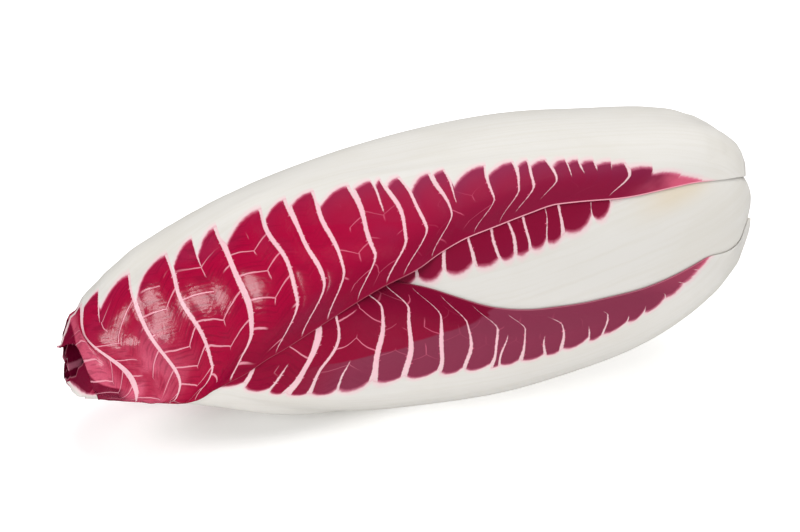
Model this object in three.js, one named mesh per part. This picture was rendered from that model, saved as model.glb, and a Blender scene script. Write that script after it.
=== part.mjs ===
// Head of treviso radicchio, lying on its side.
// Millimetres, +Z up. The cut stem points to +X, the leaf tips point to -X, the front is -Y.
//
// The leaves are wrapped round a slim heart, one over the other. A spot on the head is given by
//   run    0 at the leaf bases, 1 at the very tip, along the side of the heart
//   turn   degrees round the axis: 0 faces the front, 90 faces up, -90 faces down
//   height millimetres out from the side of the heart
// Each leaf lies at the summed height of the leaves under it, so no leaf cuts another.
import * as THREE from 'three';

// ---- driving dimensions ----
const axisHeight = 38.9;        // height of the head's axis above the surface at x = 0
const axisTilt = 2.5;           // degrees, the tip end lies lower
const tipDroop = 10.7;          // how strongly the tip end bends down
const baseRise = 6.3;           // how strongly the stem end bends up
const bladeThickness = 0.8;     // leaf blade away from the rib
const marginThickness = 0.62;   // leaf blade at its edge
const edgeWave = 0.9;            // degrees by which a leaf's edge wanders
const foldLength = 9;           // a leaf comes down over the edge of the one below within this
const foldStart = 3;            // and starts to come down this far past that edge
const rows = [0, 0.012, 0.028, 0.05, 0.08, 0.115, 0.16, 0.205, 0.25, 0.295, 0.34, 0.385, 0.43,
  0.475, 0.52, 0.565, 0.61, 0.655, 0.7, 0.745, 0.79, 0.83, 0.865, 0.895, 0.92, 0.94, 0.957, 0.97];
const coarseRows = [0, 0.012, 0.028, 0.05, 0.08, 0.115, 0.16, 0.25, 0.34, 0.43, 0.52, 0.59, 0.655,
  0.71, 0.755, 0.79, 0.825, 0.865, 0.9, 0.92];

// side of the heart: control points (x, radius) of one smooth curve from base to tip
const heartCurve = [[99, 3], [91, 16], [62, 18], [16, 32.5], [-26, 22], [-62, 2.4], [-90, 1.2],
  [-99, 0.5]];
const heartEnd = 0.77;          // the heart stops short of the leaf tips

// ---- small helpers ----
const radians = Math.PI / 180;

function clamp(value, low, high) {
  return Math.min(Math.max(value, low), high);
}

function smooth(from, to, value) {
  const t = clamp((value - from) / (to - from), 0, 1);
  return t * t * (3 - 2 * t);
}

// a curve through points that never overshoots them
function curveThrough(points) {
  const count = points.length;
  const widths = [];
  const slopes = [];
  for (let i = 0; i < count - 1; i++) {
    widths.push(points[i + 1][0] - points[i][0]);
    slopes.push((points[i + 1][1] - points[i][1]) / widths[i]);
  }
  const tangents = [slopes[0]];
  for (let i = 1; i < count - 1; i++) {
    if (slopes[i - 1] * slopes[i] <= 0) {
      tangents.push(0);
    } else {
      const first = 2 * widths[i] + widths[i - 1];
      const second = widths[i] + 2 * widths[i - 1];
      tangents.push((first + second) / (first / slopes[i - 1] + second / slopes[i]));
    }
  }
  tangents.push(slopes[count - 2]);
  return (value) => {
    const x = clamp(value, points[0][0], points[count - 1][0]);
    let i = 0;
    while (i < count - 2 && x >= points[i + 1][0]) {
      i += 1;
    }
    const t = (x - points[i][0]) / widths[i];
    const start = points[i][1] * (1 + 2 * t) * (1 - t) ** 2;
    const end = points[i + 1][1] * t * t * (3 - 2 * t);
    const leave = widths[i] * tangents[i] * t * (1 - t) ** 2;
    const arrive = widths[i] * tangents[i + 1] * t * t * (t - 1);
    return start + end + leave + arrive;
  };
}

function bezier(points, t) {
  let level = points;
  while (level.length > 1) {
    const next = [];
    for (let i = 0; i < level.length - 1; i++) {
      next.push([
        level[i][0] * (1 - t) + level[i + 1][0] * t,
        level[i][1] * (1 - t) + level[i + 1][1] * t,
      ]);
    }
    level = next;
  }
  return level[0];
}

const heartSteps = heartCurve.slice(1).map((point, i) => [
  point[0] - heartCurve[i][0],
  point[1] - heartCurve[i][1],
]);

// position and outward direction on the side of the heart
function heartSide(run) {
  const [x, radius] = bezier(heartCurve, run);
  const [stepX, stepRadius] = bezier(heartSteps, run);
  const length = Math.hypot(stepX, stepRadius);
  return { x, radius, outX: stepRadius / length, outRadius: -stepX / length };
}

function heartLength() {
  let total = 0;
  let last = heartSide(0);
  for (let i = 1; i <= 800; i++) {
    const here = heartSide(i / 800);
    total += Math.hypot(here.x - last.x, here.radius - last.radius);
    last = here;
  }
  return total;
}
const sideLength = heartLength();

function axisAt(x) {
  const droop = tipDroop * Math.max(-(x + 50) / 50, 0) ** 2;
  const rise = baseRise * Math.max((x - 60) / 50, 0) ** 2;
  return axisHeight + Math.tan(axisTilt * radians) * x - droop + rise;
}

// ---- thickness of ribs and leaves along the head ----
const ribThickness = curveThrough([[0, 3], [0.03, 3.3], [0.09, 3.9], [0.18, 4.3], [0.3, 3.6],
  [0.5, 2.6], [0.7, 1.7], [0.85, 1.1], [1, 0.8]]);
const ribHalfWidth = curveThrough([[0, 20], [0.12, 24], [0.25, 25], [0.45, 23], [0.62, 20],
  [0.78, 16], [0.88, 11], [0.95, 6], [1, 2]]);
const shellHeight = curveThrough([[0, 9.6], [0.025, 12.2], [0.06, 14.8], [0.11, 16.3], [0.18, 16.9],
  [0.3, 16.9], [0.5, 15.4], [0.6, 15], [0.7, 13], [0.79, 11], [0.87, 7.6], [0.95, 5],
  [1, 4.4]]);
// air between two leaves
const outerGap = curveThrough([[0, 0.4], [0.06, 1], [0.5, 1.4], [0.75, 1], [0.88, 1.15], [1, 1.15]]);
const innerGap = curveThrough([[0, 0.5], [0.08, 0.65], [0.15, 0.75], [0.3, 2.05], [0.5, 2.1],
  [0.7, 1.2], [0.85, 1], [1, 1]]);
const frontSwell = 2.3;         // the base of the front leaf stands out this much further
const ribSink = 0.75;           // how far the thick outer ribs press into the leaves below

// ---- the leaves ----
// reach: degrees from the rib to the edge of the leaf, on the side of growing turn (left)
// and of falling turn (right)
const plainReach = [[0, 64], [0.16, 60], [0.3, 60], [0.42, 69], [0.55, 85], [0.68, 104],
  [0.8, 125], [1, 140]];
const coverReach = [[0, 66], [0.158, 60], [0.22, 58.5], [0.325, 58.5], [0.357, 60.5],
  [0.388, 63], [0.425, 67], [0.45, 72], [0.48, 80], [0.52, 88], [0.56, 97], [0.603, 108],
  [0.64, 120], [0.677, 134], [0.718, 155], [0.76, 168], [0.85, 172], [0.9, 165], [0.94, 135],
  [1, 100]];
const lowerReach = [[0, 42], [0.05, 49], [0.1, 56], [0.143, 61], [0.295, 61], [0.352, 64],
  [0.405, 70], [0.443, 77], [0.473, 83], [0.505, 88], [0.62, 100], [0.8, 118], [0.88, 105],
  [0.94, 75], [1, 50]];

const outerLeaves = [
  {
    rib: [[0, 106], [0.3, 107], [0.45, 112], [0.6, 120], [1, 122]],
    left: plainReach,
    right: coverReach,
    tip: 0.985,
    columns: 9,
    slant: 14,
    lean: 0,
    arch: 7,
    lift: 1.1,
  },
  {
    rib: [[0, -58], [1, -58]],
    left: lowerReach,
    right: plainReach,
    tip: 0.972,
    columns: 8,
    slant: 0,
    lean: 5,
    arch: 8,
    lift: 0.7,
  },
  {
    rib: [[0, 197], [0.5, 199], [1, 206]],
    left: plainReach,
    right: plainReach,
    tip: 0.965,
    columns: 7,
    slant: 4,
    lean: 2.5,
    arch: 7,
    lift: 0.7,
  },
  {
    rib: [[0, -122], [1, -116]],
    left: plainReach,
    right: plainReach,
    tip: 0.955,
    columns: 7,
    slant: 0,
    lean: 2.5,
    arch: 7,
    lift: 0.3,
  },
  {
    rib: [[0, 12], [0.25, 9], [0.31, 6], [0.465, 0], [1, -4]],
    left: plainReach,
    right: plainReach,
    tip: 0.915,
    columns: 7,
    slant: 3,
    lean: 2.5,
    arch: 7,
    lift: 0.4,
  },
];

const innerCount = 8;           // leaves between the outer five and the heart
const turnStep = -137.5;        // degrees from one inner leaf to the next
const leaves = outerLeaves.map((leaf) => ({ ...leaf, outer: true, ribScale: 1 }));
leaves[4].ribScale = 0.9;
for (let i = 0; i < innerCount; i++) {
  const narrow = 1 - 0.045 * i;
  const reach = [[0, 60], [0.06, 60], [0.25, 58 * narrow], [0.5, 76 * narrow],
    [0.75, 100 * narrow], [1, 120 * narrow]];
  const turn = 150 + turnStep * i;
  leaves.push({
    rib: [[0, turn], [1, turn]],
    left: reach,
    right: reach,
    tip: 0.9 - 0.024 * i,
    columns: 5,
    slant: 0,
    lean: 2.5,
    arch: 7,
    lift: 0.2,
    outer: false,
    ribScale: 0.92 - 0.035 * i,
  });
}
leaves.forEach((leaf, i) => {
  leaf.order = i;
  leaf.ribTurn = curveThrough(leaf.rib);
  leaf.leftReach = curveThrough(leaf.left);
  leaf.rightReach = curveThrough(leaf.right);
});
const outerCount = outerLeaves.length;

// rough radius of a leaf, to turn degrees into millimetres
function leafRadius(leaf, run) {
  const side = heartSide(run);
  let height = shellHeight(run);
  if (leaf.outer) {
    height += 1.2 * (outerCount - leaf.order);
  } else {
    height *= (leaves.length - leaf.order) / innerCount;
  }
  return Math.max(side.radius + height * side.outRadius, 2);
}

// degrees from rib to edge; the leaf rounds off over the last tenth of the run
function reachOf(leaf, onLeft, run) {
  const rest = clamp((leaf.tip - run) / 0.1, 0, 1);
  const round = Math.sqrt(Math.max(1 - (1 - rest) ** 2, 0));
  const reach = onLeft ? leaf.leftReach(run) : leaf.rightReach(run);
  const wave = edgeWave * Math.sin(run * 34 + leaf.order * 1.7 + (onLeft ? 2 : 0));
  return (reach + wave * smooth(0.04, 0.15, run)) * round;
}

function wrapTurn(degrees) {
  return ((degrees % 360) + 360) % 360;
}

// the inner leaves start thinner, so that all bases fit round the stem
function ribBulge(leaf, run, fromRib) {
  const across = Math.abs(fromRib) / Math.max(ribHalfWidth(run) * leaf.ribScale, 1.5);
  const start = leaf.outer ? 1 : 0.45 + 0.55 * smooth(0, 0.08, run);
  const full = ribThickness(run) * leaf.ribScale * start;
  return Math.max(full - bladeThickness, 0) * (1 - smooth(0.25, 1.25, across));
}

// lift of a leaf's edge off the leaves below
function edgeLift(leaf, run, share) {
  const along = smooth(0.05, 0.18, run) * (1 - smooth(0.5, 0.62, run));
  return leaf.lift * along * smooth(0.7, 1, share);
}

function leafThickness(leaf, run, fromRib, share) {
  const thinning = (bladeThickness - marginThickness) * smooth(0.8, 1, share);
  return bladeThickness - thinning + ribBulge(leaf, run, fromRib);
}

// where a spot on the head lies on a leaf; outside is in millimetres past the leaf's edge
function spotOn(leaf, run, turn) {
  const toLeft = wrapTurn(turn - leaf.ribTurn(run));
  const toRight = 360 - toLeft;
  const radius = leafRadius(leaf, run);
  const leftEdge = reachOf(leaf, true, run);
  const rightEdge = reachOf(leaf, false, run);
  const onLeft = toLeft - leftEdge < toRight - rightEdge;
  const degrees = onLeft ? toLeft : toRight;
  const edge = onLeft ? leftEdge : rightEdge;
  const past = Math.max(run - leaf.tip, 0) * sideLength;
  let outside = (degrees - edge) * radians * radius;
  if (past > 0) {
    outside = Math.hypot(Math.max(outside, 0), past);
  }
  return {
    radius,
    outside,
    share: clamp(degrees / Math.max(edge, 1), 0, 1),
    fromRib: Math.min(toLeft, toRight) * radians * radius,
  };
}

// height that a leaf adds under the leaves above it
function heightAdded(leaf, run, turn) {
  const spot = spotOn(leaf, run, turn);
  const tight = 1 - (1 - clamp(spot.radius / 15, 0.3, 1)) * (1 - smooth(0.03, 0.12, run));
  const cover = 1 - smooth(foldStart * tight, (foldStart + foldLength) * tight, spot.outside);
  if (cover === 0) {
    return 0;
  }
  const gap = leaf.outer ? outerGap(run) : innerGap(run);
  const thickness = bladeThickness + ribBulge(leaf, run, spot.fromRib);
  return (thickness + gap + edgeLift(leaf, run, spot.share)) * cover;
}

// height at which the outer leaves start
function shellAt(run, turn) {
  const front = Math.cos((turn - leaves[4].ribTurn(run)) * radians);
  const swell = frontSwell * (1 - smooth(0.03, 0.22, run)) * smooth(0.15, 1, front);
  let height = shellHeight(run) + swell;
  for (const leaf of leaves.slice(0, outerCount)) {
    const toLeft = wrapTurn(turn - leaf.ribTurn(run));
    const fromRib = Math.min(toLeft, 360 - toLeft) * radians * leafRadius(leaf, run);
    height -= ribSink * ribBulge(leaf, run, fromRib) * smooth(0, 0.05, run);
  }
  return height;
}

// height of a leaf's inner face
function heightUnder(order, run, turn) {
  const inOuter = order < outerCount;
  let height = inOuter ? shellAt(run, turn) : 0;
  const last = inOuter ? outerCount - 1 : leaves.length - 1;
  for (let i = last; i > order; i--) {
    height += heightAdded(leaves[i], run, turn);
  }
  return height;
}

// height of the outermost face of the head
function outsideHeight(run, turn) {
  for (const leaf of leaves.slice(0, outerCount)) {
    const spot = spotOn(leaf, run, turn);
    if (spot.outside <= 0) {
      const under = heightUnder(leaf.order, run, turn) + edgeLift(leaf, run, spot.share);
      return under + leafThickness(leaf, run, spot.fromRib, spot.share);
    }
  }
  return heightUnder(0, run, turn);
}

// point in space; the underside is pressed flat where it would pass below the surface
function place(run, turn, height) {
  const side = heartSide(run);
  const angle = turn * radians;
  const x = side.x + height * side.outX;
  const radius = side.radius + height * side.outRadius;
  let z = axisAt(x) + radius * Math.sin(angle);
  if (Math.sin(angle) < -0.5) {
    const whole = outsideHeight(run, turn);
    const wholeX = side.x + whole * side.outX;
    const wholeRadius = side.radius + whole * side.outRadius;
    const lowest = axisAt(wholeX) + wholeRadius * Math.sin(angle);
    z += Math.max(-lowest, 0) * clamp(height / whole, 0, 1);
  }
  return [x, -radius * Math.cos(angle), z];
}

// ---- closed bodies from two matching grids of points ----
function addGrid(grid, positions) {
  return grid.map((line) => line.map((point) => {
    positions.push(point[0], point[1], point[2]);
    return positions.length / 3 - 1;
  }));
}

function addQuad(triangles, a, b, c, d, flip) {
  if (flip) {
    triangles.push(a, c, b, a, d, c);
  } else {
    triangles.push(a, b, c, a, c, d);
  }
}

function sheetBody(outerGrid, innerGrid) {
  const positions = [];
  const triangles = [];
  const outer = addGrid(outerGrid, positions);
  const inner = addGrid(innerGrid, positions);
  const lines = outer.length - 1;
  const points = outer[0].length - 1;
  for (let i = 0; i < lines; i++) {
    for (let j = 0; j < points; j++) {
      addQuad(triangles, outer[i][j], outer[i][j + 1], outer[i + 1][j + 1], outer[i + 1][j], false);
      addQuad(triangles, inner[i][j], inner[i][j + 1], inner[i + 1][j + 1], inner[i + 1][j], true);
    }
  }
  for (let j = 0; j < points; j++) {
    addQuad(triangles, outer[0][j], inner[0][j], inner[0][j + 1], outer[0][j + 1], false);
    addQuad(triangles, outer[lines][j], outer[lines][j + 1], inner[lines][j + 1], inner[lines][j],
      false);
  }
  for (let i = 0; i < lines; i++) {
    addQuad(triangles, outer[i][0], outer[i + 1][0], inner[i + 1][0], inner[i][0], false);
    addQuad(triangles, outer[i][points], inner[i][points], inner[i + 1][points],
      outer[i + 1][points], false);
  }
  return toGeometry(positions, triangles);
}

// body of rings round the axis, closed by a centre point at both ends
function ringBody(rings, firstCentre, lastCentre) {
  const positions = [];
  const triangles = [];
  const loops = addGrid(rings, positions);
  const start = addGrid([[firstCentre, lastCentre]], positions)[0];
  const count = loops[0].length;
  for (let j = 0; j < count; j++) {
    const next = (j + 1) % count;
    for (let i = 0; i < loops.length - 1; i++) {
      addQuad(triangles, loops[i][j], loops[i][next], loops[i + 1][next], loops[i + 1][j], false);
    }
    triangles.push(start[0], loops[0][next], loops[0][j]);
    triangles.push(start[1], loops[loops.length - 1][j], loops[loops.length - 1][next]);
  }
  return toGeometry(positions, triangles);
}

function toGeometry(positions, triangles) {
  const geometry = new THREE.BufferGeometry();
  geometry.setAttribute('position', new THREE.Float32BufferAttribute(positions, 3));
  geometry.setIndex(triangles);
  let volume = 0;
  for (let i = 0; i < triangles.length; i += 3) {
    const [a, b, c] = [0, 1, 2].map((k) => new THREE.Vector3(
      ...positions.slice(triangles[i + k] * 3, triangles[i + k] * 3 + 3),
    ));
    volume += a.dot(b.cross(c)) / 6;
  }
  if (volume < 0) {
    for (let i = 0; i < triangles.length; i += 3) {
      [triangles[i + 1], triangles[i + 2]] = [triangles[i + 2], triangles[i + 1]];
    }
    geometry.setIndex(triangles);
  }
  geometry.computeVertexNormals();
  return geometry;
}

// ---- a leaf ----
// The rows of a leaf follow its side veins, which curve toward the tip at the leaf's edge.
function leafSpot(leaf, onLeft, start, share) {
  const fading = 1 - smooth(0.7, 0.97, start / leaf.tip);
  const straight = 1 - smooth(0.7, 0.95, start);
  const arching = leaf.arch * fading * share ** 3;
  const leaning = leaf.lean * straight * Math.sin(Math.PI * share);
  const slanting = leaf.slant * smooth(0.6, 0.9, start) * share;
  const run = clamp(start + (arching - leaning - slanting) / sideLength, 0, leaf.tip - 0.003);
  const reach = reachOf(leaf, onLeft, run);
  const turn = leaf.ribTurn(run) + (onLeft ? 1 : -1) * share * reach;
  const fromRib = share * reach * radians * leafRadius(leaf, run);
  return { run, turn, fromRib };
}

function leafGeometry(leaf) {
  const used = (leaf.outer ? rows : coarseRows).filter((run) => run < leaf.tip - 0.012);
  used.push(leaf.tip - 0.004);
  const outerGrid = [];
  const innerGrid = [];
  for (const start of used) {
    const outerLine = [];
    const innerLine = [];
    for (let column = -leaf.columns; column <= leaf.columns; column++) {
      const share = Math.abs(column) / leaf.columns;
      const spot = leafSpot(leaf, column > 0, start, share);
      const under = heightUnder(leaf.order, spot.run, spot.turn) + edgeLift(leaf, spot.run, share);
      const thickness = leafThickness(leaf, spot.run, spot.fromRib, share);
      innerLine.push(place(spot.run, spot.turn, under));
      outerLine.push(place(spot.run, spot.turn, under + thickness));
    }
    outerGrid.push(outerLine);
    innerGrid.push(innerLine);
  }
  return sheetBody(outerGrid, innerGrid);
}

// ---- the heart: the youngest leaves, still closed round each other ----
const heartSides = 16;
const heartFolds = 3;           // leaf edges seen round the heart
const heartFoldDepth = 1.1;
const heartClearance = 0.45;

function heartGeometry() {
  const used = coarseRows.filter((run) => run < heartEnd - 0.02);
  used.push(heartEnd);
  const rings = used.map((run) => {
    const side = heartSide(run);
    const ring = [];
    for (let j = 0; j < heartSides; j++) {
      const turn = (j * 360) / heartSides;
      const winding = (turn / 360) * heartFolds + run * 2;
      const fold = winding - Math.floor(winding);
      const depth = heartFoldDepth * fold * Math.min(side.radius / 12, 1);
      const closing = 0.5 * smooth(heartEnd - 0.05, heartEnd, run);
      ring.push(place(run, turn, -heartClearance - depth - closing));
    }
    return ring;
  });
  const base = heartSide(0);
  const end = heartSide(heartEnd);
  const baseX = base.x - heartClearance * base.outX;
  const endX = end.x - 1.5;
  return ringBody(rings, [baseX, 0, axisAt(baseX)], [endX, 0, axisAt(endX)]);
}

// ---- the stem: a short cone inside the leaf bases, ending in the cut face ----
const stemSides = 28;
const stemClearance = 0.35;
const stemStart = 1;            // height on the base line where the cone starts
const stemEnd = 12.6;            // height of the cut face
const stemBevel = 0.5;

function stemGeometry() {
  const side = heartSide(0);
  const ringAt = (height, inset) => {
    const x = side.x + height * side.outX + stemClearance * side.outRadius;
    const radius = side.radius + height * side.outRadius - stemClearance * side.outX - inset;
    const ring = [];
    for (let j = 0; j < stemSides; j++) {
      const angle = (j * 2 * Math.PI) / stemSides;
      const uneven = 1 + 0.012 * Math.sin(3 * angle + 1) + 0.008 * Math.sin(5 * angle);
      const reach = height > 11.5 ? radius * Math.min(uneven, 1) : radius;
      ring.push([x, -reach * Math.cos(angle), axisAt(x) + reach * Math.sin(angle)]);
    }
    return ring;
  };
  const heights = [stemStart, 3.5, 6, 8.5, 11, stemEnd - stemBevel];
  const rings = heights.map((height) => ringAt(height, 0));
  rings.push(ringAt(stemEnd, stemBevel));
  const startX = rings[0][0][0];
  const endX = rings[rings.length - 1][0][0];
  return ringBody(rings, [startX, 0, axisAt(startX)], [endX, 0, axisAt(endX)]);
}

// ---- assembly ----
function piece(name, geometry, colour, roughness) {
  const material = new THREE.MeshStandardMaterial({ color: colour, roughness, metalness: 0 });
  const mesh = new THREE.Mesh(geometry, material);
  mesh.name = name;
  return mesh;
}

const group = new THREE.Group();
group.name = 'radicchio_head';
leaves.forEach((leaf, i) => {
  const number = String(i + 1).padStart(2, '0');
  const colour = new THREE.Color(0x9c1f45).lerp(new THREE.Color(0xc0446a), i / leaves.length);
  group.add(piece(`leaf_${number}`, leafGeometry(leaf), colour, 0.38));
});
group.add(piece('heart', heartGeometry(), 0xd9a5a8, 0.5));
group.add(piece('stem', stemGeometry(), 0xe6dcc4, 0.6));

// the origin is under the middle of the head
const box = new THREE.Box3().setFromObject(group);
const middle = box.getCenter(new THREE.Vector3());
for (const mesh of group.children) {
  mesh.geometry.translate(-middle.x, -middle.y, -box.min.z);
}

export default group;
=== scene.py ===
import math
from functools import partial

import bpy
import numpy as np
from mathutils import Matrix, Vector


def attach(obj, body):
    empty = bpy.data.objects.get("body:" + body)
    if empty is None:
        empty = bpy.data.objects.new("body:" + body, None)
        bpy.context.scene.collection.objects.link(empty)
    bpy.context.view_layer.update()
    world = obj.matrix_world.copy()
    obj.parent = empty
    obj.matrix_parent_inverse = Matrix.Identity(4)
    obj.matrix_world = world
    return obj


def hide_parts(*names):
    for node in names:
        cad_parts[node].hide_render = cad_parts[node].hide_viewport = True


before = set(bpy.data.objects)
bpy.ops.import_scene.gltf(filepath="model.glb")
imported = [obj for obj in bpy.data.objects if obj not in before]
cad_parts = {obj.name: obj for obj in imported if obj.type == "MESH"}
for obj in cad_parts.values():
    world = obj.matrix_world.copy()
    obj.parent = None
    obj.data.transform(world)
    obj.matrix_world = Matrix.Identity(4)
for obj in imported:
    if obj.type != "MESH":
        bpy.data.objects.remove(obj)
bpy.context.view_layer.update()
bpy.ops.object.select_all(action="DESELECT")
print("frame loaded:", len(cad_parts), "nodes")

mm = 0.001

# The head: run goes 0..1 from the leaf bases to the tips, turn is degrees round the axis
# (0 front, 90 up), height is millimetres out from the side of the heart. All in millimetres.
head = {
    "axisHeight": 38.9,
    "axisTilt": 2.5,
    "tipDroop": 10.7,
    "baseRise": 6.3,
    "blade": 0.8,
    "margin": 0.62,
    "edgeWave": 0.9,
    "leafStep": 1.2,     # how much further out each outer leaf lies than the next
    "foldLength": 9,
    "foldStart": 3,
    "ribSink": 0.75,
    "heartCurve": [(99, 3), (91, 16), (62, 18), (16, 32.5), (-26, 22), (-62, 2.4), (-90, 1.2),
                   (-99, 0.5)],
    "frontSwell": 2.3,
    "centre": (8.64056, 1.30511),
    "sag": 0.18,       # how deep the soft hollows of the surface go
    "tipSag": 1.3,     # and near the tips
    "tipFold": (182, 188),     # along the head, where the last panel of the top leaf folds over
    "rest": 0.12,      # a margin comes down to this close above the leaf below
    "restLength": 10,
    "restThickness": 0.45,     # of the leaf where the head lies on the floor
}


def clamp(value, low, high):
    return np.minimum(np.maximum(value, low), high)


def smooth(start, end, value):
    t = clamp((value - start) / (end - start), 0, 1)
    return t * t * (3 - 2 * t)


# smooth curve through points that never overshoots them
def curveThrough(points):
    x = np.array([point[0] for point in points], float)
    y = np.array([point[1] for point in points], float)
    width = np.diff(x)
    slope = np.diff(y) / width
    tangent = np.zeros(len(x))
    tangent[0], tangent[-1] = slope[0], slope[-1]
    for i in range(1, len(x) - 1):
        if slope[i - 1] * slope[i] > 0:
            first = 2 * width[i] + width[i - 1]
            second = width[i] + 2 * width[i - 1]
            tangent[i] = (first + second) / (first / slope[i - 1] + second / slope[i])

    def valueAt(value):
        value = clamp(np.asarray(value, float), x[0], x[-1])
        i = np.clip(np.searchsorted(x, value, side="right") - 1, 0, len(x) - 2)
        t = (value - x[i]) / width[i]
        ends = y[i] * (1 + 2 * t) * (1 - t) ** 2 + y[i + 1] * t * t * (3 - 2 * t)
        bends = tangent[i] * t * (1 - t) ** 2 + tangent[i + 1] * t * t * (t - 1)
        return ends + width[i] * bends

    return valueAt


def bezier(points, t):
    t = np.asarray(t, float)
    degree = len(points) - 1
    x, r = 0 * t, 0 * t
    for i, point in enumerate(points):
        weight = math.comb(degree, i) * t**i * (1 - t) ** (degree - i)
        x = x + weight * point[0]
        r = r + weight * point[1]
    return x, r


def heartSide(run):
    points = head["heartCurve"]
    steps = [(b[0] - a[0], b[1] - a[1]) for a, b in zip(points, points[1:])]
    x, radius = bezier(points, run)
    stepX, stepR = bezier(steps, run)
    length = np.hypot(stepX, stepR)
    return x, radius, stepR / length, -stepX / length


sideX, sideR, _, _ = heartSide(np.linspace(0, 1, 801))
sideLength = float(np.hypot(np.diff(sideX), np.diff(sideR)).sum())


def axisAt(x):
    droop = head["tipDroop"] * np.maximum(-(x + 50) / 50, 0) ** 2
    rise = head["baseRise"] * np.maximum((x - 60) / 50, 0) ** 2
    return head["axisHeight"] + math.tan(math.radians(head["axisTilt"])) * x - droop + rise


ribThickness = curveThrough([(0, 3), (0.03, 3.3), (0.09, 3.9), (0.18, 4.3), (0.3, 3.6),
                             (0.5, 2.6), (0.7, 1.7), (0.85, 1.1), (1, 0.8)])
ribHalfWidth = curveThrough([(0, 20), (0.12, 24), (0.25, 25), (0.45, 23), (0.62, 20),
                             (0.78, 16), (0.88, 11), (0.95, 6), (1, 2)])
shellHeight = curveThrough([(0, 9.6), (0.025, 12.2), (0.06, 14.8), (0.11, 16.3), (0.18, 16.9),
                            (0.3, 16.9), (0.5, 15.4), (0.6, 15), (0.7, 13), (0.79, 11),
                            (0.87, 7.6), (0.95, 5), (1, 4.4)])
outerGap = curveThrough([(0, 0.4), (0.06, 1), (0.5, 1.4), (0.75, 1), (0.88, 1.15), (1, 1.15)])
innerGap = curveThrough([(0, 0.5), (0.08, 0.65), (0.15, 0.75), (0.3, 2.05), (0.5, 2.1),
                         (0.7, 1.2), (0.85, 1), (1, 1)])
# millimetres from the middle of a rib to where the red starts
redStart = curveThrough([(0, 37), (0.15, 34), (0.22, 31), (0.28, 29), (0.35, 27.5), (0.44, 26.5),
                         (0.52, 24), (0.6, 19.5), (0.7, 16.5), (0.79, 11.5), (0.87, 4.5),
                         (0.895, 1.4), (0.93, 0.7), (1, 0.5)])

plainReach = [(0, 64), (0.16, 60), (0.3, 60), (0.42, 69), (0.55, 85), (0.68, 104), (0.8, 125),
              (1, 140)]
coverReach = [(0, 66), (0.158, 60), (0.22, 58.5), (0.325, 58.5), (0.357, 60.5), (0.388, 63),
              (0.425, 67), (0.45, 72), (0.48, 80), (0.52, 88), (0.56, 97), (0.603, 108),
              (0.64, 120), (0.677, 134), (0.718, 155), (0.76, 168), (0.85, 172), (0.9, 165),
              (0.94, 135), (1, 100)]
lowerReach = [(0, 42), (0.05, 49), (0.1, 56), (0.143, 61), (0.295, 61), (0.352, 64),
              (0.405, 70), (0.443, 77), (0.473, 83), (0.505, 88), (0.62, 100), (0.8, 118),
              (0.88, 105), (0.94, 75), (1, 50)]

# The five outer leaves. veins are runs where side veins leave the rib, sizes gives stronger and
# weaker ones by their number. A side vein bows by early, then by drift towards the leaf base,
# and its end hooks to the tip. veinReach is how far past the start of the red a vein is seen.
# lobes: how deep the two corners of a panel are rounded.
# Three amounts are 0..1: a darker red, partly the leaf's own colour and partly painted shade
# on leaves lying in shade; painted sheen, a mauve reflection on the half nearer the rib; and
# painted shade, ochre, on the rib where the top leaf's margin lies over it.
topLeaf = {
    "name": "leaf_01",
    "rib": [(0, 106), (0.3, 107), (0.45, 112), (0.6, 120), (1, 122)],
    "left": plainReach,
    "right": coverReach,
    "tip": 0.985,
    "slant": 14,
    "lean": 0,
    "arch": 7,
    "lift": 1.1,
    "drift": [(0, 0), (0.4, 0), (0.45, 1.2), (0.55, 1.8), (0.665, 2), (0.733, 6.3), (0.787, 8),
              (0.885, 15.5), (1, 16)],
    "driftFrom": (0.38, 0.84),
    "early": [(0, 0), (0.5, 0), (0.6, 0.8), (0.7, 0.8), (0.787, 2.2), (0.885, 4), (1, 4)],
    "hook": 5.5,
    "hookFrom": 0.82,
    "veins": [0.06, 0.1, 0.15, 0.205, 0.237, 0.255, 0.273, 0.288, 0.305, 0.325, 0.348, 0.362, 0.39,
              0.43, 0.443, 0.473, 0.492, 0.505, 0.525, 0.56, 0.585, 0.613, 0.665, 0.698, 0.733,
              0.787, 0.843, 0.885],
    "sizes": {0: 0.15, 1: 0.15, 2: 0.15, 3: 0.15, 4: 1.1, 5: 0.15, 6: 0.4, 7: 0.5, 8: 0.35, 9: 0.8,
              10: 0.7, 11: 0.65, 12: 0.75, 13: 0.45, 14: 0.8, 15: 0.8, 16: 0.85, 17: 0.45,
              20: 1.1, 21: 1.2, 22: 1.25, 23: 0.45, 24: 1.1, 25: 1.15, 26: 0.45, 27: 2.9},
    "veinReach": [(0, 3), (0.225, 5), (0.237, 12), (0.25, 6), (0.27, 7), (0.3, 11), (0.34, 16),
                  (0.38, 26), (0.45, 40), (0.5, 90), (0.82, 110), (0.87, 58), (1, 58)],
    "lobes": (1.05, 0.12, 1.7, 0.35),
    "tone": 0,
    "bloom": 0.1,
    "marginLine": 1,
    "tipCut": 6,
    "tipHollow": 0.9,
    "evenRib": (0.8, 0.9),
    "rowsPerVein": 9,
    "columns": (60, 84),
}
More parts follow.
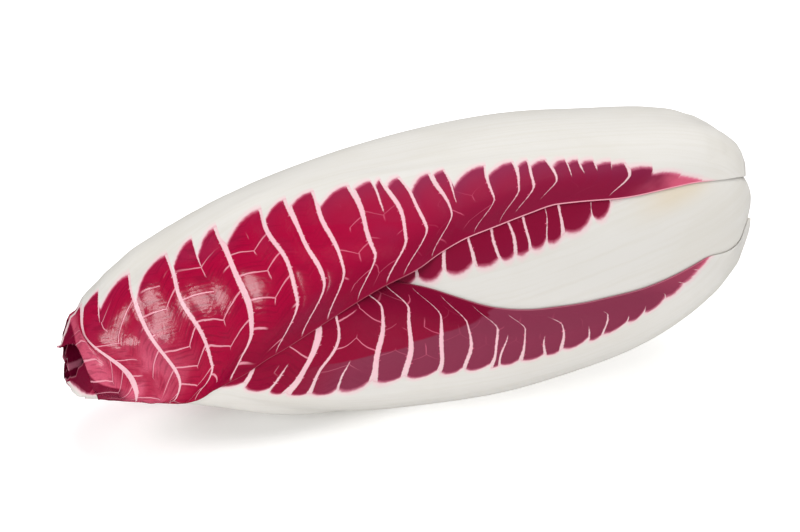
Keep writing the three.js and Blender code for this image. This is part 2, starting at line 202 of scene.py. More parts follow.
lowerLeaf = {
    "name": "leaf_02",
    "rib": [(0, -58), (1, -58)],
    "left": lowerReach,
    "right": plainReach,
    "tip": 0.972,
    "slant": 0,
    "lean": 5,
    "arch": 8,
    "lift": 0.7,
    "veins": [0.06, 0.1, 0.135, 0.17, 0.203, 0.23, 0.256, 0.285, 0.305, 0.334, 0.352, 0.375, 0.398,
              0.408, 0.438, 0.468, 0.503, 0.535, 0.568, 0.598, 0.62, 0.642, 0.675, 0.72, 0.77,
              0.82, 0.87, 0.92],
    "drift": [(0, 0), (0.38, 0), (0.44, 0.7), (0.5, 2.4), (0.55, 3.5), (0.6, 6.5), (0.7, 8),
              (0.85, 10), (1, 10)],
    "driftFrom": (0.25, 0.78),
    "hook": 5,
    "hookFrom": 0.87,
    "sizes": {0: 0.3, 1: 0.3, 2: 0.4, 3: 0.3, 4: 0.4, 5: 0.3, 6: 0.5, 7: 0.6, 8: 0.45, 9: 0.65,
              10: 0.5, 11: 0.6, 12: 0.45, 13: 0.75, 14: 0.8, 15: 0.95, 16: 1.05, 17: 1.5,
              18: 0.45, 19: 0.95, 20: 1.6, 21: 0.5, 27: 0},
    "veinReach": [(0, 5), (0.2, 6), (0.27, 9), (0.3, 14), (0.36, 19), (0.42, 28), (0.5, 40),
                  (0.56, 60), (1, 120)],
    "lobes": (0.38, 0.5, 5, 1),
    "tone": 0.7,
    "bloom": 1,
    "tipRib": 2,
    "tipRibAside": [(0, 0), (0.82, 0), (0.9, 3.2), (0.94, 4.8), (0.968, -1.2), (1, -2.5)],
    "marginLine": 0.25,
    "evenRib": (0.5, 0.6),
    "rowsPerVein": 9,
    "columns": (66, 56),
}
backLeaf = {
    "name": "leaf_03",
    "rib": [(0, 197), (0.5, 199), (1, 206)],
    "left": plainReach,
    "right": plainReach,
    "tip": 0.965,
    "slant": 4,
    "lean": 2.5,
    "arch": 7,
    "lift": 0.7,
    "veins": [0.06, 0.11, 0.15, 0.19, 0.225, 0.26, 0.285, 0.315, 0.34, 0.365, 0.4, 0.43, 0.45,
              0.48, 0.515, 0.55, 0.58, 0.62, 0.66, 0.7, 0.75, 0.8, 0.85, 0.9],
    "sizes": {9: 0.45, 12: 0.5, 14: 1.2, 17: 0.5, 19: 1.3},
    "rowsPerVein": 8,
    "columns": (55, 55),
}
underLeaf = {
    "name": "leaf_04",
    "rib": [(0, -122), (1, -116)],
    "left": plainReach,
    "right": plainReach,
    "tip": 0.955,
    "slant": 0,
    "lean": 2.5,
    "arch": 7,
    "lift": 0.3,
    "veins": [0.06, 0.11, 0.155, 0.195, 0.23, 0.265, 0.29, 0.32, 0.35, 0.37, 0.4, 0.43, 0.46, 0.49,
              0.52, 0.55, 0.59, 0.63, 0.66, 0.7, 0.75, 0.8, 0.85, 0.9],
    "sizes": {9: 0.5, 13: 1.2, 16: 0.5, 18: 1.2},
    "rowsPerVein": 7,
    "columns": (44, 44),
}
frontLeaf = {
    "name": "leaf_05",
    "rib": [(0, 12), (0.25, 9), (0.31, 6), (0.465, 0), (1, -4)],
    "left": plainReach,
    "right": plainReach,
    "tip": 0.915,
    "slant": 3,
    "lean": 2.5,
    "arch": 7,
    "lift": 0.4,
    "ribScale": 0.9,
    "veins": [0.06, 0.1, 0.14, 0.18, 0.215, 0.262, 0.285, 0.324, 0.342, 0.365, 0.38, 0.397, 0.421,
              0.449, 0.48, 0.51, 0.55, 0.6, 0.65, 0.7, 0.76, 0.82, 0.88],
    "sizes": {5: 0.5, 6: 0.2, 7: 0.6, 8: 0.2, 9: 0.5, 10: 0.5, 11: 0.5, 12: 0.6, 13: 0.6, 14: 0.7},
    "redShift": 5.8,
    "lobes": (0.42, 0.5, 5, 1),
    "tone": 1,
    "bloom": 0.1,
    "stain": 0.8,
    "rowsPerVein": 8,
    "columns": (52, 48),
}
innerLeaf = {
    "count": 8,
    "firstTurn": 150,
    "turnStep": -137.5,
    "narrowing": 0.045,
    "firstTip": 0.9,
    "tipStep": 0.024,
    "firstRibScale": 0.92,
    "ribScaleStep": 0.035,
    "firstVein": 0.06,
    "veinSpaces": 13,
    "weakVein": 0.5,
    "lean": 2.5,
    "arch": 7,
    "lift": 0.2,
    "rowsPerVein": 6,
    "columns": (30, 30),
}

leafDefaults = {
    "ribScale": 1,
    "redShift": 0,         # millimetres that the red starts nearer the rib, beyond the base
    "drift": [(0, 0), (0.4, 0), (0.6, 2), (0.8, 6), (1, 8)],
    "driftFrom": (0.3, 0.8),
    "early": [(0, 0), (1, 0)],
    "hook": 4,
    "hookFrom": 0.84,
    "veinReach": [(0, 4), (0.2, 6), (0.3, 14), (0.4, 40), (0.5, 90), (1, 120)],
    "lobes": (0.7, 0.25, 3, 0.6),      # tip corner, base corner, how tight, share at the base
    "tone": 0.4,
    "bloom": 0.4,
    "stain": 0,
    "marginLine": 0.4,     # strength of the pale line along the margin
    "tipCut": 0,           # how far the sides of the tip draw back to the base
    "tipRib": 0,           # millimetres of white added beside the rib near the tip
    "tipRibAside": [(0, 0), (1, 0)],     # and how far aside that white lies
    "tipHollow": 0,        # depth of the hollow between the last fold and the margin
    "evenRib": None,       # where the evening out of the rib's outer face fades away
}

leaves = [topLeaf, lowerLeaf, backLeaf, underLeaf, frontLeaf]
outerCount = len(leaves)
spaces = innerLeaf["veinSpaces"]
for i in range(innerLeaf["count"]):
    narrow = 1 - innerLeaf["narrowing"] * i
    reach = [(0, 60), (0.06, 60), (0.25, 58 * narrow), (0.5, 76 * narrow), (0.75, 100 * narrow),
             (1, 120 * narrow)]
    turn = innerLeaf["firstTurn"] + innerLeaf["turnStep"] * i
    tip = innerLeaf["firstTip"] - innerLeaf["tipStep"] * i
    leaves.append({
        "name": f"leaf_{outerCount + i + 1:02d}",
        "rib": [(0, turn), (1, turn)],
        "left": reach,
        "right": reach,
        "tip": tip,
        "slant": 0,
        "ribScale": innerLeaf["firstRibScale"] - innerLeaf["ribScaleStep"] * i,
        "veins": [innerLeaf["firstVein"] + (tip - 0.1) * (k / spaces) for k in range(spaces + 1)],
        "sizes": {(3 * i + 5) % spaces: innerLeaf["weakVein"]},
        **{key: innerLeaf[key] for key in ("lean", "arch", "lift", "rowsPerVein", "columns")},
    })
for i, leaf in enumerate(leaves):
    leaf["order"] = i
    leaf["outer"] = i < outerCount
    for key, value in leafDefaults.items():
        leaf.setdefault(key, value)
    for curve, points in (("ribTurn", "rib"), ("leftReach", "left"), ("rightReach", "right"),
                          ("driftAt", "drift"), ("earlyAt", "early"),
                          ("veinReachAt", "veinReach"), ("tipRibAt", "tipRibAside")):
        leaf[curve] = curveThrough(leaf[points])


# How the leaves lie on each other: each adds its thickness and a gap to what it covers.
def leafRadius(leaf, run):
    _, radius, _, outR = heartSide(run)
    height = shellHeight(run)
    if leaf["outer"]:
        height = height + head["leafStep"] * (outerCount - leaf["order"])
    else:
        height = height * (len(leaves) - leaf["order"]) / innerLeaf["count"]
    return np.maximum(radius + height * outR, 2)


def reachOf(leaf, side, run):
    rest = clamp((leaf["tip"] - run) / 0.1, 0, 1)
    rounding = np.sqrt(np.maximum(1 - (1 - rest) ** 2, 0))
    reach = np.where(side > 0, leaf["leftReach"](run), leaf["rightReach"](run))
    phase = leaf["order"] * 1.7 + np.where(side > 0, 2, 0)
    wave = head["edgeWave"] * np.sin(run * 34 + phase)
    return (reach + wave * smooth(0.04, 0.15, run)) * rounding


def ribBulge(leaf, run, fromRib):
    scale = leaf["ribScale"]
    across = np.abs(fromRib) / np.maximum(ribHalfWidth(run) * scale, 1.5)
    start = 1 if leaf["outer"] else 0.45 + 0.55 * smooth(0, 0.08, run)
    full = ribThickness(run) * scale * start
    return np.maximum(full - head["blade"], 0) * (1 - smooth(0.25, 1.25, across))


def edgeLift(leaf, run, share):
    along = smooth(0.05, 0.18, run) * (1 - smooth(0.5, 0.62, run))
    return leaf["lift"] * along * smooth(0.7, 1, share)


def leafThickness(leaf, run, fromRib, share):
    thinning = (head["blade"] - head["margin"]) * smooth(0.8, 1, share)
    return head["blade"] - thinning + ribBulge(leaf, run, fromRib)


def spotOn(leaf, run, turn):
    toLeft = np.mod(turn - leaf["ribTurn"](run), 360)
    toRight = 360 - toLeft
    radius = leafRadius(leaf, run)
    leftEdge = reachOf(leaf, 1, run)
    rightEdge = reachOf(leaf, -1, run)
    onLeft = toLeft - leftEdge < toRight - rightEdge
    degrees = np.where(onLeft, toLeft, toRight)
    edge = np.where(onLeft, leftEdge, rightEdge)
    past = np.maximum(run - leaf["tip"], 0) * sideLength
    outside = np.radians(degrees - edge) * radius
    outside = np.where(past > 0, np.hypot(np.maximum(outside, 0), past), outside)
    share = clamp(degrees / np.maximum(edge, 1), 0, 1)
    return radius, outside, share, np.radians(np.minimum(toLeft, toRight)) * radius


def heightAdded(leaf, run, turn):
    radius, outside, share, fromRib = spotOn(leaf, run, turn)
    tight = 1 - (1 - clamp(radius / 15, 0.3, 1)) * (1 - smooth(0.03, 0.12, run))
    start = head["foldStart"] * tight
    end = (head["foldStart"] + head["foldLength"]) * tight
    cover = 1 - smooth(start, end, outside)
    gap = outerGap(run) if leaf["outer"] else innerGap(run)
    thickness = head["blade"] + ribBulge(leaf, run, fromRib)
    return (thickness + gap + edgeLift(leaf, run, share)) * cover


# height at which the outer leaves start
def shellAt(run, turn):
    front = np.cos(np.radians(turn - frontLeaf["ribTurn"](run)))
    swell = head["frontSwell"] * (1 - smooth(0.03, 0.22, run)) * smooth(0.15, 1, front)
    height = shellHeight(run) + swell
    for leaf in leaves[:outerCount]:
        toLeft = np.mod(turn - leaf["ribTurn"](run), 360)
        fromRib = np.radians(np.minimum(toLeft, 360 - toLeft)) * leafRadius(leaf, run)
        height = height - head["ribSink"] * ribBulge(leaf, run, fromRib) * smooth(0, 0.05, run)
    return height


def heightUnder(order, run, turn):
    height = 0 * run
    last = len(leaves) - 1
    if order < outerCount:
        last = outerCount - 1
        height = shellAt(run, turn)
    for i in range(last, order, -1):
        height = height + heightAdded(leaves[i], run, turn)
    return height


# outer surface of some outer leaves, over what lies below them
def topOf(some, whole, run, turn):
    for leaf in reversed(some):
        _, outside, share, fromRib = spotOn(leaf, run, turn)
        top = heightUnder(leaf["order"], run, turn) + edgeLift(leaf, run, share)
        top = top + leafThickness(leaf, run, fromRib, share)
        whole = np.where(outside <= 0, top, whole)
    return whole


def topBelow(order, run, turn):
    lowest = heightUnder(outerCount - 1, run, turn)
    return topOf(leaves[order + 1:outerCount], lowest, run, turn)


def outsideHeight(run, turn):
    return topOf(leaves[:outerCount], heightUnder(0, run, turn), run, turn)


# the margins of the outer leaves come to rest on the leaf below
def settledHeight(leaf, run, turn, share, toEdge):
    under = heightUnder(leaf["order"], run, turn) + edgeLift(leaf, run, share)
    if not leaf["outer"]:
        return under
    fall = edgeLift(leaf, run, share) + outerGap(run) - head["rest"]
    fall = np.maximum(fall, 0) * (1 - smooth(0.5, head["restLength"], toEdge))
    floor = np.minimum(under, topBelow(leaf["order"], run, turn) + head["rest"])
    return np.maximum(under - fall, floor)


# soft hollows, the same for all leaves at a spot, so that they never cut each other
def sagAt(run, turn):
    a = np.radians(turn)
    along = run * sideLength
    waves = (np.sin(along / 11 + 2 * a) + np.sin(along / 7.3 - 3 * a + 1.3)
             + 0.8 * np.sin(along / 5.1 + 5 * a + 0.4)) / 2.8
    depth = head["sag"] + (head["tipSag"] - head["sag"]) * smooth(0.62, 0.9, run)
    return depth * (0.5 + 0.5 * waves) * smooth(0.02, 0.12, run)


def place(run, turn, height, whole):
    x, radius, outX, outR = heartSide(run)
    angle = np.radians(turn)
    wholeX = x + whole * outX
    lowest = axisAt(wholeX) + (radius + whole * outR) * np.sin(angle)
    pressed = np.where(np.sin(angle) < -0.5, np.maximum(-lowest, 0), 0)
    pressed = pressed * clamp(height / whole, 0, 1)
    free = 1 - smooth(-3, 0.5, -lowest)      # no hollows where the head rests
    height = height - sagAt(run, turn) * free * clamp(height / whole, 0, 1)
    px = x + height * outX
    r = radius + height * outR
    point = [px - head["centre"][0],
             -r * np.cos(angle) - head["centre"][1],
             axisAt(px) + r * np.sin(angle) + pressed]
    return np.stack(point, -1) * mm


# adds a node; an input is given as a value or as another node's output
def newNode(tree, kind, settings=None, inputs=None):
    node = tree.nodes.new(kind)
    for name, value in (settings or {}).items():
        setattr(node, name, value)
    for name, value in (inputs or {}).items():
        if isinstance(value, bpy.types.NodeSocket):
            tree.links.new(value, node.inputs[name])
        else:
            node.inputs[name].default_value = value
    return node


def calc(tree, operation, *values):
    inputs = dict(enumerate(values))
    return newNode(tree, "ShaderNodeMath", {"operation": operation}, inputs).outputs[0]


def ramp(tree, value, low, high, start=0, end=1):
    inputs = {"Value": value, "From Min": low, "From Max": high, "To Min": start, "To Max": end}
    settings = {"interpolation_type": "SMOOTHSTEP"}
    return newNode(tree, "ShaderNodeMapRange", settings, inputs).outputs[0]


def blend(tree, factor, first, second):
    node = newNode(tree, "ShaderNodeMix", {"data_type": "RGBA"}, {0: factor, 6: first, 7: second})
    return node.outputs[2]


def vector(tree, x, y, z=0):
    return newNode(tree, "ShaderNodeCombineXYZ", None, {0: x, 1: y, 2: z}).outputs[0]


def parts(tree, value):
    return newNode(tree, "ShaderNodeSeparateXYZ", None, {0: value}).outputs


def stretched(tree, place, scale):
    return newNode(tree, "ShaderNodeMapping", None, {"Vector": place, "Scale": scale}).outputs[0]


def noise(tree, place, scale, detail=2):
    inputs = {"Vector": place, "Scale": scale, "Detail": detail}
    return newNode(tree, "ShaderNodeTexNoise", None, inputs).outputs[0]


def chance(tree, x, y):
    settings = {"noise_dimensions": "2D"}
    spot = vector(tree, x, y)
    return newNode(tree, "ShaderNodeTexWhiteNoise", settings, {"Vector": spot}).outputs[0]


def newGroup(name, inputs, outputs):
    tree = bpy.data.node_groups.new(name, "ShaderNodeTree")
    for label, kind in inputs:
        tree.interface.new_socket(label, in_out="INPUT", socket_type=kind)
    for label, kind in outputs:
        tree.interface.new_socket(label, in_out="OUTPUT", socket_type=kind)
    return tree, newNode(tree, "NodeGroupInput").outputs, newNode(tree, "NodeGroupOutput").inputs


# The pattern of a leaf: white rib, red panels, side veins and their branches.
leafColours = {
    "rib": (0.69, 0.670, 0.634, 1),
    "ribShade": (0.65, 0.623, 0.567, 1),
    # painted shade: the ochre shadow on the front leaf's rib under the top leaf's margin
    "ochreShade": (0.66, 0.53, 0.34, 1),
    "fringe": (0.78, 0.24, 0.36, 1),
    "tipRed": (0.385, 0.0003, 0.036, 1),
    "baseRed": (0.33, 0.008, 0.050, 1),
    # darker red for the leaves under the top leaf: partly their own colour, partly painted shade
    "deepAndShadedRed": (0.225, 0.0003, 0.025, 1),
    # purple: random clouds in the red, and the painted sheen on the red nearest the rib
    "purple": (0.24, 0.022, 0.075, 1),
    # rose: painted reflection of the floor near the tip, a paler patch near the base, the fold
    "rose": (0.68, 0.115, 0.20, 1),
    # painted reflection: the mauve sheen on the half of a leaf nearer its rib
    "bloom": (0.235, 0.031, 0.070, 1),
    # deep: darker margins, the net, and painted shade in the tip hollow, the tip opening, the
    # wrinkles
    "deep": (0.13, 0.001, 0.020, 1),
    "vein": (0.86, 0.48, 0.55, 1),
    "branch": (0.70, 0.12, 0.22, 1),
    "margin": (0.82, 0.34, 0.42, 1),
    "inside": (0.62, 0.20, 0.30, 1),
}


# lengths are in millimetres, and a pair is where a change starts and ends
leafMarks = {
    "tipRed": (60, 130),           # along the leaf, where the red turns lighter
    "wrinkled": (95, 145),         # along the leaf, where it starts to pucker
    # along the leaf, where the inner faces are painted as shade in the opening at the tip
    "insideTip": (150, 172),
    "redStart": (-0.6, 0.5),
    "fringe": 1.3,
    "veinWidth": 0.35,
    "veinSpread": 0.14,            # how much wider some veins are
    "veinFlare": 0.3,              # and all of them at the rib
    "branchSpacing": 7.5,
    "branchSpread": 3,
    "branchWidth": 0.13,
    "branchPucker": 0.1,
    "spurSpacing": 3.1,
    "spurless": 0.7,               # share of the spurs left out
    "wideNet": 0.42,
    "closeNet": 1.3,
    # bounds of the painted sheen, a painted reflection
    "sheenEdge": 81,               # from the rib, at the base
    "sheenSlope": -0.4,
    "sheenEnd": (112, 130),
    "marginLine": (0.2, 0.42),
    "ribRoughness": 0.45,
    "redGloss": -0.24,             # added to that roughness
    "specular": 0.45,
    "seedStep": 3.7,               # from one leaf to the next
    "heights": {"net": 0.02, "feather": 0.035, "branch": -0.05, "vein": 0.05, "ribLine": 0.08},
}


def buildLeafPattern():
    colours, marks, heights = leafColours, leafMarks, leafMarks["heights"]
    vectors = ("Vein", "Blade", "Form", "Branch", "Spot")
    numbers = ("Seed", "Tip Lobe", "Base Lobe", "Lobe Power", "Lobe Near Base", "Tone", "Bloom",
               "Stain", "Margin Line")
    tree, given, out = newGroup(
        "leafPattern",
        [(name, "NodeSocketVector") for name in vectors]
        + [(name, "NodeSocketFloat") for name in numbers],
        [("Color", "NodeSocketColor"), ("Roughness", "NodeSocketFloat"),
         ("Height", "NodeSocketFloat")],
    )
    times, plus, minus, divided, raised = (partial(calc, tree, operation) for operation in (
        "MULTIPLY", "ADD", "SUBTRACT", "DIVIDE", "POWER"))
    larger, smaller, isMore, scaled = (partial(calc, tree, operation) for operation in (
        "MAXIMUM", "MINIMUM", "GREATER_THAN", "MULTIPLY_ADD"))
    unsigned, floored, rounded, fractionOf = (partial(calc, tree, operation) for operation in (
        "ABSOLUTE", "FLOOR", "ROUND", "FRACT"))
    fade, mixed, noiseAt, chanceAt, vectorOf = (
        partial(helper, tree) for helper in (ramp, blend, noise, chance, vector))

    count, gap, past = parts(tree, given["Vein"])
    across, along, toEdge = parts(tree, given["Blade"])
    size, reach, outside = parts(tree, given["Form"])
    strongCount, strongGap = parts(tree, given["Branch"])[:2]
    seed = given["Seed"]
    away = unsigned(across)
    half = times(calc(tree, "SIGN", across), 40)

    surface = vectorOf(across, along, seed)
    wander = minus(noiseAt(surface, 0.16), 0.5)
    grain = noiseAt(surface, 0.9, 3)
    cloud = noiseAt(surface, 0.07, 3)
    towardsTip = fade(along, *marks["tipRed"])
    wrinkled = fade(along, *marks["wrinkled"])

    # place between two side veins: f is 0 at the one nearer the leaf base
    f = fractionOf(count)
    panel = plus(floored(count), half)
    fromMiddle = unsigned(minus(f, 0.5))
    near = times(minus(0.5, fromMiddle), gap)
    veinNumber = plus(rounded(count), half)
    veinChance = chanceAt(veinNumber, seed)
    panelChance = chanceAt(plus(panel, 0.5), seed)

    # red panels, rounded off at the rib
    backward = minus(1, f)
    tipArc = times(raised(f, given["Lobe Power"]), given["Tip Lobe"])
    baseArc = times(raised(backward, 4), given["Base Lobe"])
    lobe = times(plus(tipArc, baseArc), times(gap, scaled(panelChance, 0.45, 0.75)))
    lobe = times(lobe, fade(along, 45, 90, given["Lobe Near Base"], 1))
    lobe = times(lobe, fade(along, 28, 50, 0.15, 1))
    lobe = times(lobe, fade(along, 176, 186, 1, 0.1))
    uneven = times(minus(grain, 0.5), 0.9)
    inRed = plus(minus(past, lobe), uneven)
    red = fade(inRed, *marks["redStart"])
    # inner faces near the tip are painted red, and darker below: painted shade in the opening at
    # the tip
    insideTip = times(minus(1, outside), fade(along, *marks["insideTip"]))
    red = larger(red, insideTip)

    # side veins: wide where they leave the rib, thinner to the margin
    flare = raised(0.8, larger(past, 0))
    ending = fade(past, times(reach, 0.55), reach, 1, 0)
    body = scaled(veinChance, marks["veinSpread"], marks["veinWidth"])
    body = scaled(flare, marks["veinFlare"], body)
    body = times(body, fade(toEdge, 0.5, 20, 0.3, 1))
    body = times(body, scaled(ending, 0.7, 0.3))
    width = times(body, size)
    ripple = times(minus(noiseAt(surface, 1.3, 2), 0.5), 0.32)
    toVein = plus(near, ripple)
    vein = fade(toVein, minus(width, 0.1), plus(width, 0.12), 1, 0)
    vein = times(times(vein, fade(toEdge, 0.4, 2.5)), fade(size, 0, 0.1))
    vein = times(vein, fade(minus(reach, past), 0, 1.5))

    # branches that meet in a V between two side veins, and point to the margin
    g = fractionOf(strongCount)
    pair = plus(floored(strongCount), half)
    pairChance = chanceAt(plus(pair, 0.3), seed)
    meet = scaled(pairChance, 0.2, 0.36)
    rise = divided(g, meet)
    fall = divided(minus(1, g), minus(1, meet))
    low = smaller(rise, fall)
    bow = times(raised(low, 1.3), scaled(strongGap, 0.3, 0.6))
    slide = scaled(wander, 1.2, away)
    alongArm = minus(slide, bow)
    spacing = scaled(pairChance, marks["branchSpread"], marks["branchSpacing"])
    step = divided(alongArm, spacing)
    step = scaled(pairChance, 7, step)
    branchNumber = rounded(step)
    toBranch = times(unsigned(minus(step, branchNumber)), times(spacing, 0.75))
    arm = isMore(rise, fall)
    armChance = chanceAt(branchNumber, scaled(arm, 0.37, pair))
    branchWidth = scaled(wrinkled, marks["branchPucker"], marks["branchWidth"])
    branchWidth = times(branchWidth, scaled(low, -0.4, 1.1))
    branch = fade(toBranch, times(branchWidth, 0.5), times(branchWidth, 1.5), 1, 0)
    # a few stop before they meet the other
    armEnd = scaled(armChance, 3.6, -0.15)
    branch = times(branch, fade(minus(armEnd, low), 0, 0.25))
    # the short stem below each V
    beyondV = minus(step, floored(step))
    toMiddle = unsigned(minus(g, scaled(wander, 0.12, meet)))
    tail = fade(times(toMiddle, strongGap), 0.04, 0.2, 1, 0)
    tailEnd = scaled(chanceAt(floored(step), pair), 0.6, -0.1)
    tail = times(tail, fade(minus(tailEnd, beyondV), 0, 0.2))
    # the finest wrinkles run along the branches
    featherSpot = vectorOf(times(alongArm, 1.15), times(times(g, strongGap), 0.2), pair)
    feather = noiseAt(featherSpot, 1, 0)
    # little spurs beside the side veins
    spurStep = divided(away, marks["spurSpacing"])
    spurStep = scaled(veinChance, 9, spurStep)
    spurStep = scaled(near, -0.2, spurStep)
    spurNumber = rounded(spurStep)
    toSpur = times(unsigned(minus(spurStep, spurNumber)), 3)
    spurChance = chanceAt(spurNumber, scaled(isMore(f, 0.5), 0.41, veinNumber))
    spurLength = scaled(spurChance, 0.5, width)
    spur = fade(toSpur, 0.06, 0.22, 1, 0)
    spur = times(spur, fade(minus(spurLength, near), 0, 0.3))
    spur = times(spur, isMore(spurChance, marks["spurless"]))
    spur = times(spur, fade(minus(reach, past), 0, 4))
    fine = times(larger(branch, tail), fade(strongGap, 5.5, 8))
    fine = times(fine, fade(past, 7, 14))
    fine = times(fine, fade(along, 70, 100, 0.2, 1))
    fine = larger(fine, times(spur, 1.15))
    fine = times(fine, fade(toEdge, 1, 5))
    fine = times(fine, fade(inRed, 0.5, 3))

    # net of the smallest veins
    shaken = vectorOf(times(grain, 0.6), times(wander, 2))
    netPlace = newNode(tree, "ShaderNodeVectorMath", {"operation": "MULTIPLY_ADD"},
                       {0: given["Spot"], 1: (1000, 1000, 1000), 2: shaken}).outputs[0]

    def netOf(scale, width):
        net = newNode(tree, "ShaderNodeTexVoronoi", {"feature": "DISTANCE_TO_EDGE"},
                      {"Vector": netPlace, "Scale": scale})
        return fade(net.outputs["Distance"], 0, width, 1, 0)

    net = netOf(marks["wideNet"], 0.35)
    mesh = netOf(marks["closeNet"], 0.3)

    # colour of the panels
    crimson = mixed(towardsTip, colours["baseRed"], colours["tipRed"])
    # the darker red: partly the leaf's own colour, partly painted shade on leaves lying in shade
    crimson = mixed(given["Tone"], crimson, colours["deepAndShadedRed"])
    pure = scaled(given["Tone"], -0.85, 1)
    clouded = times(fade(cloud, 0.5, 0.72, 0, 0.25), pure)
    crimson = mixed(clouded, crimson, colours["purple"])
    # painted sheen: a purple haze on the red nearest the rib, most towards the leaf base
    nearRibSheen = times(fade(inRed, 0.5, 9, 0.75, 0), fade(along, 85, 125, 1, 0.3))
    crimson = mixed(times(nearRibSheen, pure), crimson, colours["purple"])
    darkEdge = times(fade(toEdge, 2, 18, 0.5, 0), fade(along, 135, 155, 1, 0))
    crimson = mixed(darkEdge, crimson, colours["deep"])
    # painted reflection: a dull mauve sheen on the half of a leaf nearer its rib
    sheenEdge = scaled(along, marks["sheenSlope"], marks["sheenEdge"])
    sheenEdge = scaled(panelChance, 2, sheenEdge)
    bloom = times(fade(minus(sheenEdge, away), 0, 0.9), fade(along, *marks["sheenEnd"], 1, 0))
    crimson = mixed(times(bloom, given["Bloom"]), crimson, colours["bloom"])
    # towards the tip, away from the rib: painted reflection of the floor; also paler rose near the
    # base
    rosy = times(fade(along, 146, 174), fade(past, 16, 30))
    rosy = larger(rosy, fade(along, 28, 46, 1, 0))
    crimson = mixed(times(rosy, fade(cloud, 0.38, 0.6, 0.2, 0.85)), crimson, colours["rose"])
    # the last panel is a fold, paler rose; the hollow between it and the margin is painted shade
    tipEnd = fade(along, *head["tipFold"])
    fold = times(tipEnd, fade(toEdge, 11.4, 12.6))
    crimson = mixed(times(fold, 0.65), crimson, colours["rose"])
    crimson = mixed(times(minus(tipEnd, fold), 0.8), crimson, colours["deep"])
    # painted shade: the inner faces in the opening at the tip are darkened
    crimson = mixed(times(insideTip, 0.55), crimson, colours["deep"])
    crimson = mixed(times(mesh, scaled(wrinkled, 0.08, 0.03)), crimson, colours["deep"])
    # painted shade: dark lines along the finest wrinkles where the leaf puckers
    crimson = mixed(times(wrinkled, fade(feather, 0.5, 0.7, 0, 0.3)), crimson, colours["deep"])
    crimson = mixed(fade(inRed, 0, marks["fringe"], 0.5, 0), crimson, colours["fringe"])
    branchColour = mixed(times(wrinkled, 0.6), colours["branch"], colours["vein"])
    crimson = mixed(times(fine, 0.85), crimson, branchColour)

    # colour of the rib: faint lines along it
    lineSpot = vectorOf(scaled(wander, 1.2, across), times(along, 0.03), seed)
    lines = noiseAt(lineSpot, 0.8, 3)
    tone = noiseAt(surface, 0.045, 2)
    white = mixed(fade(lines, 0.42, 0.68, 0, 0.5), colours["rib"], colours["ribShade"])
    white = mixed(fade(tone, 0.45, 0.7, 0, 0.5), white, colours["ribShade"])
    # painted shade, ochre, on the front leaf's rib near its base, where the top leaf's margin lies
    # over it
    underMarginShaded = times(fade(along, 36, 52, 1, 0), fade(across, 12, 19))
    underMarginShaded = times(times(underMarginShaded, fade(along, 18, 32)), given["Stain"])
    white = mixed(times(underMarginShaded, fade(tone, 0.35, 0.6, 0.3, 0.6)), white, colours["ochreShade"])
    white = mixed(fade(inRed, -2.4, 0, 0, 0.5), white, colours["vein"])

    colour = mixed(red, white, crimson)
    veinColour = mixed(fade(past, 1, 12, 0.15, 0.8), white, colours["vein"])
    inVein = times(vein, red)
    colour = mixed(times(inVein, 0.97), colour, veinColour)
    lineShare = plus(fade(along, 82, 100, 1, 0.12), fade(along, 172, 186, 0, 0.5))
    line = times(fade(toEdge, *marks["marginLine"], 1, 0), lineShare)
    line = times(times(line, given["Margin Line"]), fade(inRed, -2, 1))
    colour = mixed(line, colour, colours["margin"])
    insideShare = minus(times(minus(1, outside), red), insideTip)
    colour = mixed(times(insideShare, 0.3), colour, colours["inside"])
    tree.links.new(colour, out["Color"])

    rough = scaled(red, marks["redGloss"], marks["ribRoughness"])
    rough = scaled(minus(cloud, 0.5), 0.14, rough)
    rough = scaled(inVein, 0.15, rough)
    tree.links.new(rough, out["Roughness"])

    creased = scaled(wrinkled, 0.85, 0.15)
    creased = times(times(creased, red), -1)
    height = times(net, times(creased, heights["net"]))
    height = scaled(feather, times(creased, heights["feather"]), height)
    height = scaled(times(fine, red), heights["branch"], height)
    height = scaled(inVein, heights["vein"], height)
    height = scaled(times(lines, minus(1, red)), heights["ribLine"], height)
    tree.links.new(height, out["Height"])
    return tree


leafPattern = buildLeafPattern()


def newMaterial(name, roughness=0.5):
    material = bpy.data.materials.new(name)
    material.use_nodes = True
    shader = material.node_tree.nodes["Principled BSDF"]
    shader.inputs["Roughness"].default_value = roughness
    return material, material.node_tree, shader


# depth is in millimetres
def joinBump(tree, shader, height, depth):
    bump = newNode(tree, "ShaderNodeBump", None, {"Height": height, "Distance": depth * mm})
    tree.links.new(bump.outputs["Normal"], shader.inputs["Normal"])


def leafMaterial(leaf):
    material, tree, shader = newMaterial(leaf["name"] + "Skin")

    def attribute(name):
        settings = {"attribute_name": name}
        return newNode(tree, "ShaderNodeAttribute", settings).outputs["Vector"]

    pattern = newNode(tree, "ShaderNodeGroup", {"node_tree": leafPattern}, {
        "Vein": attribute("veinPlace"),
        "Blade": attribute("bladePlace"),
        "Form": attribute("veinForm"),
        "Branch": attribute("branchPlace"),
        "Spot": newNode(tree, "ShaderNodeTexCoord").outputs["Object"],
        "Seed": leaf["order"] * leafMarks["seedStep"],
        "Tip Lobe": leaf["lobes"][0],
        "Base Lobe": leaf["lobes"][1],
        "Lobe Power": leaf["lobes"][2],
        "Lobe Near Base": leaf["lobes"][3],
        "Tone": leaf["tone"],
        "Bloom": leaf["bloom"],
        "Stain": leaf["stain"],
        "Margin Line": leaf["marginLine"],
    })
    shader.inputs["Specular IOR Level"].default_value = leafMarks["specular"]
    tree.links.new(pattern.outputs["Color"], shader.inputs["Base Color"])
    tree.links.new(pattern.outputs["Roughness"], shader.inputs["Roughness"])
    joinBump(tree, shader, pattern.outputs["Height"], 1)
    return material


